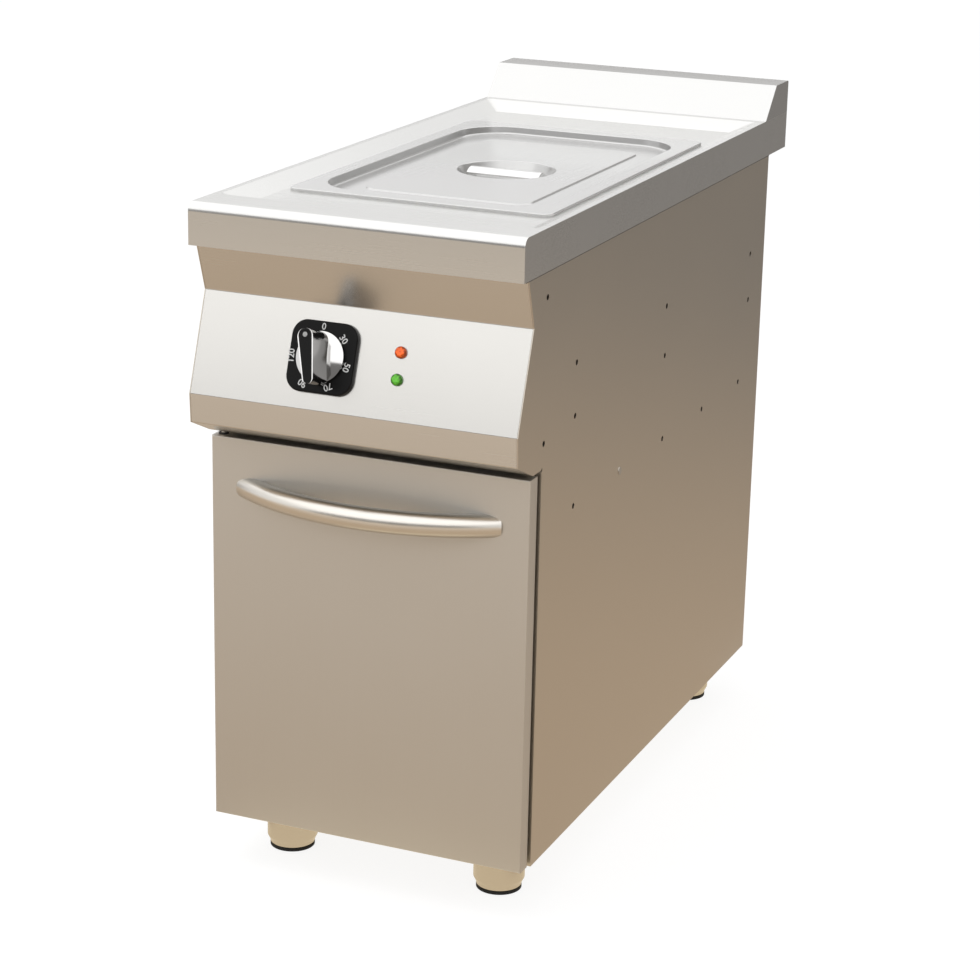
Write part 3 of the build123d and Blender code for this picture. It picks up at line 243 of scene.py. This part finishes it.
def moulded(name, colour, roughness, pebble=0.25, gloss=0.25):
    """Moulded plastic or rubber with a fine pebble in its skin."""
    finish = Finish(name)
    place = finish.coordinates()
    clouds = finish.noise(place, scale=25.0, detail=3.0)
    base = finish.blend(clouds, scaled(colour, 0.85), scaled(colour, 1.15))
    rough = roughness + (clouds - 0.5) * 0.12
    normal = finish.bump(finish.noise(place, scale=900.0, detail=2.0), pebble, distance=0.0002)
    return finish.surface({"Base Color": base, "Roughness": rough, "Normal": normal,
                           "Specular IOR Level": gloss})


def lens(name, colour, node, bulb=0.35, glint_contrast=2.0):
    """A tinted lamp lens, bright over the bulb behind its middle, with painted shade that darkens its rim and
    painted glints from noise in its colour and glow.
    """
    low, high = (Vector(corner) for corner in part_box(node))
    radius = (high.x - low.x) / 2
    finish = Finish(name)
    place = finish.coordinates()
    across = finish.vector("CROSS_PRODUCT", finish.vector("SUBTRACT", place, (low + high) / 2), FACE_NORMAL)
    # Painted shade toward the rim, and noise for painted glints; both set the colour and the glow.
    rim = finish.rise(finish.vector("LENGTH", across, output="Value"), bulb * radius, radius)
    depth = rim + (finish.noise(place, scale=420.0, detail=2.0) - 0.5) * glint_contrast
    base = finish.blend(depth, scaled(colour, 0.6), scaled(colour, 0.15))
    light = finish.blend(depth, scaled(colour, 0.8), scaled(colour, 0.12))
    return finish.surface({"Base Color": base, "Roughness": 0.12, "Specular IOR Level": 0.3,
                           "Coat Weight": 0.35, "Coat Roughness": 0.03,
                           "Emission Color": light, "Emission Strength": 1.0})


# Finishes of the record's slots, and the few nodes with a finish of their own
# The steel tones are lit and shaded copies of one steel, set part by part: the strap lightest, the panel,
# door, upstand and lid darker than the worktop, and the side sheets and legs darker and warmer, partly the
# steel's own warm tone and partly painted shade.
TOP_STEEL = (0.685, 0.682, 0.67)
SHADED_WARM_STEEL = (0.61, 0.56, 0.49)
PANEL_STEEL = (0.655, 0.642, 0.615)
DOOR_STEEL = (0.65, 0.635, 0.605)
MILL_STEEL = (0.55, 0.54, 0.52)
LID_STEEL = (0.625, 0.622, 0.615)
STRAP_STEEL = (0.74, 0.738, 0.73)
PALE_STEEL = (0.66, 0.658, 0.65)
BOW_METAL = (0.72, 0.69, 0.64)
CHROME = (0.70, 0.69, 0.68)
BRASS = (0.62, 0.48, 0.22)
ZINC = (0.80, 0.77, 0.70)
finishes = {
    "top_steel": satin_steel("worktop steel", TOP_STEEL, grain="X", roughness=0.28),
    "side_steel": satin_steel("side sheet steel", SHADED_WARM_STEEL, grain="Z", roughness=0.34),
    "panel_steel": satin_steel("control panel steel", PANEL_STEEL, grain="X", roughness=0.26),
    "door_steel": satin_steel("door steel", DOOR_STEEL, grain="Z", roughness=0.48),
    "inner_steel": satin_steel("mill-finish steel", MILL_STEEL, grain="Y", roughness=0.40),
    "lid_steel": wall_shaded_steel("pan and lid steel", LID_STEEL, grain="Y", roughness=0.20, sheen=0.55),
    "handle_metal": polished_metal("bow handle metal", BOW_METAL, roughness=0.30, axis=(0, 1, 0), painted_shade_tone=0.5),
    "foot_steel": satin_steel("leg steel", SHADED_WARM_STEEL, grain="Z", roughness=0.26),
    "pad_rubber": moulded("black rubber", (0.02, 0.02, 0.02), roughness=0.7),
    "dial_black": moulded("dial plastic", (0.008, 0.008, 0.008), roughness=0.36, pebble=0.12, gloss=0.12),
    "knob_chrome": polished_metal("chromed plastic", CHROME, roughness=0.10, axis=FACE_NORMAL),
    "lens_orange": lens("orange lens", shade(245, 98, 16), "lamp_orange"),
    "lens_green": lens("green lens", shade(88, 176, 40), "lamp_green"),
    "inner_plastic": moulded("inner plastic", (0.03, 0.03, 0.035), roughness=0.5),
    "fixing_steel": polished_metal("fixing steel", MILL_STEEL, roughness=0.35),
    "fitting_brass": polished_metal("brass fittings", BRASS, roughness=0.3),
    "wire_cover": moulded("wire sleeve", (0.30, 0.05, 0.03), roughness=0.5),
}
pale_zinc = polished_metal("zinc-plated pin", ZINC, roughness=0.45)
own_finishes = {
    "hinge_pin_top": pale_zinc,
    "hinge_pin_bottom": pale_zinc,
    "lid_handle": satin_steel("strap steel", STRAP_STEEL, grain="X", roughness=0.18),
    "upstand": satin_steel("upstand steel", PALE_STEEL, grain="X", roughness=0.14),
}
for row in frame["record"]["subparts"]:
    finish = own_finishes.get(row["node"], finishes[row["material_slot"]])
    for slot in nodes[row["node"]].material_slots:
        slot.material = finish


def add_piece(name, mesh, finish, body):
    """Hand a finished mesh, already in its place, to the body that it moves with."""
    piece = bpy.data.objects.new(name, mesh)
    mesh.materials.clear()
    mesh.materials.append(finish)
    scene.collection.objects.link(piece)
    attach(piece, body)


def evaluated_mesh(maker):
    """The plain mesh of an object's modifiers or curve; the object itself goes."""
    scene.collection.objects.link(maker)
    depsgraph = bpy.context.evaluated_depsgraph_get()
    mesh = bpy.data.meshes.new_from_object(maker.evaluated_get(depsgraph))
    bpy.data.objects.remove(maker)
    return mesh


def closed_mesh(name, shape):
    """The mesh of a bmesh, which is freed."""
    mesh = bpy.data.meshes.new(name)
    shape.to_mesh(mesh)
    shape.free()
    return mesh


def placed(place, side, up, out):
    """The matrix of three axes at a place."""
    return Matrix.Translation(place) @ Matrix((side, up, out)).transposed().to_4x4()


def face_frame(turn, outward, height):
    """Axes of a spot on the slanted face: turn clockwise from the top, outward from the dial's middle."""
    along = FACE_UP * cos(turn) + ACROSS * sin(turn)
    side = ACROSS * cos(turn) - FACE_UP * sin(turn)
    return placed(DIAL_CENTRE + along * outward + FACE_NORMAL * height, side, along, FACE_NORMAL)


# Numbers printed round the dial, tops outward, on a ring set a little to the left as in the photo
NUMBER_HEIGHT = 0.0104
NUMBER_RING = 0.0342
NUMBER_SHIFT = Vector((-0.0022, 0, 0)) - FACE_UP * 0.0005
PRINT_THICK = 0.00006
PRINT_SWELL = 0.00012
SCALE_DEGREES = {"0": 0, "30": 48, "50": 102, "70": 154, "90": 208, "120": 267}


def dial_number(label, turn):
    """One printed number at its turn round the dial."""
    letters = bpy.data.curves.new("dial number", "FONT")
    letters.body = label
    letters.size = NUMBER_HEIGHT
    letters.align_x = "CENTER"
    letters.align_y = "CENTER"
    letters.extrude = PRINT_THICK
    letters.offset = PRINT_SWELL
    mesh = evaluated_mesh(bpy.data.objects.new("dial number", letters))
    mesh.transform(Matrix.Translation(NUMBER_SHIFT) @ face_frame(turn, NUMBER_RING, DIAL_THICK))
    return mesh


white_print = moulded("white print", (0.80, 0.80, 0.79), roughness=0.45, pebble=0.1)
for label, degrees in SCALE_DEGREES.items():
    number = dial_number(label, radians(degrees))
    add_piece(f"dial_number_{label}", number, white_print, "cabinet")


# A small domed button near the tip of the knob's pointer
BUTTON_RADIUS = 0.0028
BUTTON_RISE = 0.0005
BUTTON_OUTWARD = 0.0212


def domed_button(radius, rise, rings=6, steps=32):
    """A shallow dome with a rolled edge, its foot on the XY plane."""
    shape = bmesh.new()
    loops = []
    for slope in (radians(90) * i / rings for i in range(rings)):
        spread = radius * cos(slope)
        turns = (radians(360) * k / steps for k in range(steps))
        loops.append([shape.verts.new((spread * cos(t), spread * sin(t), rise * sin(slope))) for t in turns])
    crown = shape.verts.new((0, 0, rise))
    for lower, upper in zip(loops, loops[1:]):
        for k in range(steps):
            shape.faces.new((lower[k], lower[(k + 1) % steps], upper[(k + 1) % steps], upper[k]))
    for k in range(steps):
        shape.faces.new((loops[-1][k], loops[-1][(k + 1) % steps], crown))
    shape.faces.new(list(reversed(loops[0])))
    for face in shape.faces:
        face.smooth = len(face.verts) < steps
    return closed_mesh("domed button", shape)


button = domed_button(BUTTON_RADIUS, BUTTON_RISE)
button.transform(face_frame(-KNOB_REST_TURN, BUTTON_OUTWARD, KNOB_TOP))
button_grey = moulded("grey button", (0.42, 0.42, 0.41), roughness=0.35, pebble=0.1)
add_piece("pointer_button", button, button_grey, "knob")


# Dark beads in the angle under the worktop's skirt, one along each side panel: painted shadow, a dark piece
# where the skirt's shadow line falls
BEAD_REACH = 0.0008
BEAD_DROP = 0.0013
BEAD_SHOULDER = 0.0009
BEAD_SETBACK = 0.012


def shadow_line_bead(side):
    """A thin dark fillet under the skirt, against the outer face of one side panel, that stands for the
    shadow line there.
    """
    low, high = (Vector(corner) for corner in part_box(f"side_panel_{side}"))
    skirt_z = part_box("worktop")[0][2]
    outer = high.x if side == "right" else low.x
    reach = BEAD_REACH if side == "right" else -BEAD_REACH
    profile = (
        (outer, skirt_z),
        (outer + reach, skirt_z),
        (outer + reach * 0.6, skirt_z - BEAD_SHOULDER),
        (outer, skirt_z - BEAD_DROP),
    )
    shape = bmesh.new()
    ends = [[shape.verts.new((x, y, z)) for x, z in profile] for y in (low.y + BEAD_SETBACK, high.y)]
    count = len(profile)
    for k in range(count):
        shape.faces.new((ends[0][k], ends[0][(k + 1) % count], ends[1][(k + 1) % count], ends[1][k]))
    for loop in ends:
        shape.faces.new(loop)
    bmesh.ops.recalc_face_normals(shape, faces=shape.faces)
    return closed_mesh("shadow line bead", shape)


for side in ("left", "right"):
    add_piece(f"skirt_shadow_line_{side}", shadow_line_bead(side), finishes["pad_rubber"], "cabinet")


# Cross-head screws that hold the back panel, in two columns on the flanges of the side panels
SLOT_LENGTH = 1.2
SLOT_DEPTH = 0.6
QUARTER_TURN = radians(90)
SCREW_TURN = radians(20)
SCREW_INSET = 0.010
flange_low, flange_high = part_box("side_panel_right")
screw_sizes = {
    "Columns Apart": 2 * (flange_high[0] - SCREW_INSET),
    "Column Length": 0.58,
    "Per Column": 5,
    "Head Radius": 0.004,
    "Head Rise": 0.0018,
    "Slot Breadth": 0.0009,
    "Middle": (0.0, flange_high[1], (flange_low[2] + flange_high[2]) / 2),
    "Finish": finishes["fixing_steel"],
}


def screw_grid():
    """Node tree: cross-head screws on a grid that faces the back; the slots are given in head radii."""
    tree = bpy.data.node_groups.new("cross-head screws", "GeometryNodeTree")
    kinds = {"Columns Apart": "Float", "Column Length": "Float", "Per Column": "Int", "Head Radius": "Float",
             "Head Rise": "Float", "Slot Breadth": "Float", "Middle": "Vector", "Finish": "Material"}
    for name, kind in kinds.items():
        tree.interface.new_socket(name, in_out="INPUT", socket_type=f"NodeSocket{kind}")
    tree.interface.new_socket("Geometry", in_out="OUTPUT", socket_type="NodeSocketGeometry")
    plan = Recipe(tree)
    given = plan.node("NodeGroupInput").outputs
    radius = Wire(plan, given["Head Radius"])
    rise = Wire(plan, given["Head Rise"])
    ball = plan.wire("GeometryNodeMeshUVSphere", {}, {"Segments": 24, "Rings": 12, "Radius": radius})
    flat = plan.wire("ShaderNodeCombineXYZ", {}, {"X": 1.0, "Y": 1.0, "Z": rise / radius})
    head = plan.wire("GeometryNodeTransform", {}, {"Geometry": ball, "Scale": flat})
    size = plan.wire("ShaderNodeCombineXYZ", {}, {
        "X": radius * SLOT_LENGTH, "Y": given["Slot Breadth"], "Z": radius * SLOT_DEPTH})
    bar = plan.wire("GeometryNodeMeshCube", {}, {"Size": size})
    lift = plan.wire("ShaderNodeCombineXYZ", {}, {"Z": rise})
    cut = plan.node("GeometryNodeMeshBoolean", {"operation": "DIFFERENCE"}, {"Mesh 1": head})
    for turn in (0.0, QUARTER_TURN):
        spot = {"Geometry": bar, "Rotation": (0.0, 0.0, turn), "Translation": lift}
        plan.feed(cut.inputs["Mesh 2"], plan.wire("GeometryNodeTransform", {}, spot))
    grid = plan.wire("GeometryNodeMeshGrid", {}, {
        "Size X": given["Columns Apart"], "Size Y": given["Column Length"],
        "Vertices X": 2, "Vertices Y": given["Per Column"]})
    spots = plan.wire("GeometryNodeTransform", {}, {
        "Geometry": grid, "Rotation": (-QUARTER_TURN, 0.0, 0.0), "Translation": given["Middle"]})
    heads = plan.wire("GeometryNodeInstanceOnPoints", {}, {
        "Points": spots, "Instance": cut.outputs[0], "Rotation": (-QUARTER_TURN, 0.0, SCREW_TURN)})
    solid = plan.wire("GeometryNodeRealizeInstances", {}, {"Geometry": heads})
    dressed = plan.wire("GeometryNodeSetMaterial", {}, {"Geometry": solid, "Material": given["Finish"]})
    plan.node("NodeGroupOutput", {}, {"Geometry": dressed})
    return tree


def from_tree(name, tree, sizes):
    """Run a node tree with these named sizes and give its mesh."""
    maker = bpy.data.objects.new(name, bpy.data.meshes.new(name))
    step = maker.modifiers.new(name, "NODES")
    step.node_group = tree
    for socket in tree.interface.items_tree:
        if socket.in_out == "INPUT":
            step[socket.identifier] = sizes[socket.name]
    return evaluated_mesh(maker)


back_screws = from_tree("back screws", screw_grid(), screw_sizes)
add_piece("back_screws", back_screws, finishes["fixing_steel"], "cabinet")


# Stage: a white world, and a floor that looks white and keeps the part's shadow
SKY_LIGHT = 0.7
FLOOR_REACH = 30
FLOOR_DROP = 0.0005
FLOOR_PALE = (0.9, 0.9, 0.9, 1)
FLOOR_GLOW = 1.15
FLOOR_GLOW_SHARE = 0.75
CARD_LOW = 0.001
CARD_RAISED = 0.002
scene.view_settings.view_transform = "Standard"
scene.world = bpy.data.worlds.new("white studio")
scene.world.use_nodes = True
sky = Recipe(scene.world.node_tree)
sky_strength = sky.seen() * (1 - SKY_LIGHT) + SKY_LIGHT
backdrop = sky.wire("ShaderNodeBackground", {}, {"Color": (1, 1, 1, 1), "Strength": sky_strength})
sky.node("ShaderNodeOutputWorld", {}, {"Surface": backdrop})


def plane(name, corners, finish):
    """A flat sheet through four corners."""
    mesh = bpy.data.meshes.new(name)
    mesh.from_pydata(corners, [], [(0, 1, 2, 3)])
    mesh.materials.append(finish)
    sheet = bpy.data.objects.new(name, mesh)
    scene.collection.objects.link(sheet)
    return sheet


def lying(x, y, front_z=CARD_LOW, back_z=CARD_LOW):
    """Corners of a sheet that lies over the spans x and y."""
    return [(x[0], y[0], front_z), (x[1], y[0], front_z), (x[1], y[1], back_z), (x[0], y[1], back_z)]


def standing_across(x, y, z):
    """Corners of a sheet that stands at the depth y, over the spans x and z."""
    return [(x[0], y, z[0]), (x[1], y, z[0]), (x[1], y, z[1]), (x[0], y, z[1])]


def standing_along(x, y, z):
    """Corners of a sheet that stands at the breadth x, over the spans y and z."""
    return [(x, y[0], z[0]), (x, y[1], z[0]), (x, y[1], z[1]), (x, y[0], z[1])]


floor_finish = Finish("pale floor")
matt = floor_finish.wire("ShaderNodeBsdfDiffuse", {}, {"Color": FLOOR_PALE})
glow = floor_finish.wire("ShaderNodeEmission", {}, {"Color": (1, 1, 1, 1), "Strength": FLOOR_GLOW})
floor_mix = {0: floor_finish.seen() * FLOOR_GLOW_SHARE, 1: matt, 2: glow}
floor_pale = floor_finish.output(floor_finish.node("ShaderNodeMixShader", {}, floor_mix))
floor_span = (-FLOOR_REACH, FLOOR_REACH)
floor = plane("floor", lying(floor_span, floor_span, -FLOOR_DROP, -FLOOR_DROP), floor_pale)


def reflector(name, corners, near, far=None, start=0.0, reach=1.0):
    """A studio card that only mirror rays meet; a far colour makes its glow fade along Y from start."""
    finish = Finish(name)
    colour = near
    if far:
        depth = finish.wire("ShaderNodeSeparateXYZ", {}, {0: finish.coordinates()}, "Y")
        colour = finish.blend(finish.rise(depth, start, start + reach), near, far)
    glow = finish.node("ShaderNodeEmission", {}, {"Color": colour, "Strength": 1.0})
    card = plane(name, corners, finish.output(glow))
    for rays in ("camera", "diffuse", "transmission", "shadow"):
        setattr(card, f"visible_{rays}", False)


# Cards that the steel mirrors: a tan floor, a grey horizon, and white above
FAR_TAN = (0.69, 0.60, 0.505, 1)
SKIRT_TAN = (0.98, 0.85, 0.69, 1)
TAN = (0.685, 0.57, 0.46, 1)
NEAR_TAN = (0.60, 0.47, 0.34, 1)
FOOT_TAN = (0.85, 0.73, 0.54, 1)
SIDE_TAN = (0.58, 0.47, 0.36, 1)
SHADE = (0.265, 0.25, 0.235, 1)
GREY = (0.20, 0.195, 0.19, 1)
WHITE = (1.55, 1.55, 1.55, 1)
BRIGHT = (1.5, 1.5, 1.5, 1)
PEARL = (1.0, 1.0, 1.0, 1)
CEILING = 3.4
FRONT_SPAN = (-7, 5)
FRONT_WALL = -8
FRONT_HORIZON = 3.0
BACK_WALL = 7
BACK_HORIZON = 1.9
SIDE_WALL = 7
SIDE_DEPTH = (-0.5, BACK_WALL)
reflector("near floor card", lying(FRONT_SPAN, (-2, -0.5)), TAN, NEAR_TAN, start=-1.35, reach=0.45)
reflector("middle floor card", lying(FRONT_SPAN, (-3.1, -2)), SKIRT_TAN)
reflector("far floor card", lying(FRONT_SPAN, (FRONT_WALL, -3.1)), GREY, FAR_TAN, start=-7.4, reach=2.8)
reflector("foot card", lying((-1, 1), (-0.5, 0.45)), FOOT_TAN)
reflector("front horizon card", standing_across(FRONT_SPAN, FRONT_WALL, (0, FRONT_HORIZON)), GREY)
reflector("front white card", standing_across((-9, 4), FRONT_WALL, (FRONT_HORIZON, 7.0)), WHITE)
reflector("right floor card", lying((0.22, 6), SIDE_DEPTH, CARD_RAISED), SIDE_TAN, SHADE, reach=3.2)
reflector("back horizon card", standing_across((-9, 9), BACK_WALL, (0, BACK_HORIZON)), SHADE)
reflector("back right card", standing_across((0.1, 9), BACK_WALL - 0.1, (BACK_HORIZON, 4.2)), SHADE)
reflector("right horizon card", standing_along(SIDE_WALL, (-5, BACK_WALL), (0, 4.0)), SHADE)
reflector("left floor card", lying((-6, -0.22), SIDE_DEPTH, CARD_RAISED), SIDE_TAN, SHADE, reach=2.9)
reflector("left horizon card", standing_along(-SIDE_WALL, (-1, BACK_WALL), (0, 2.0)), SHADE)
reflector("back pearl card", standing_across((-9, 0), BACK_WALL + 1, (BACK_HORIZON, 6)), PEARL)
reflector("ceiling card", lying((-5, 4), (-6, 5), CEILING, CEILING), BRIGHT, PEARL, start=3.6, reach=1.4)

# A soft lamp above the left front
LAMP_PLACE = Vector((-0.9, -0.5, 3.0))
LAMP_TARGET = Vector((0, 0, 0.5))
lamp = bpy.data.objects.new("soft lamp", bpy.data.lights.new("soft lamp", "AREA"))
lamp.data.size = 2.5
lamp.data.energy = 34
lamp.visible_glossy = False
lamp.location = LAMP_PLACE
lamp.rotation_euler = (LAMP_TARGET - LAMP_PLACE).to_track_quat("-Z", "Y").to_euler()
scene.collection.objects.link(lamp)

# The camera, fitted to the photo's edges
CAMERA_PLACE = (1.2107, -2.9495, 1.3850)
CAMERA_RIGHT = Vector((0.9201, 0.3912, 0.0215))
CAMERA_BACK = Vector((0.3672, -0.8802, 0.3008))
camera = bpy.data.objects.new("camera", bpy.data.cameras.new("camera"))
camera.data.lens = 97.08
camera.data.sensor_width = 36.0
camera_back = CAMERA_BACK.normalized()
camera_up = camera_back.cross(CAMERA_RIGHT).normalized()
camera.matrix_world = placed(CAMERA_PLACE, camera_up.cross(camera_back), camera_up, camera_back)
scene.collection.objects.link(camera)
scene.camera = camera
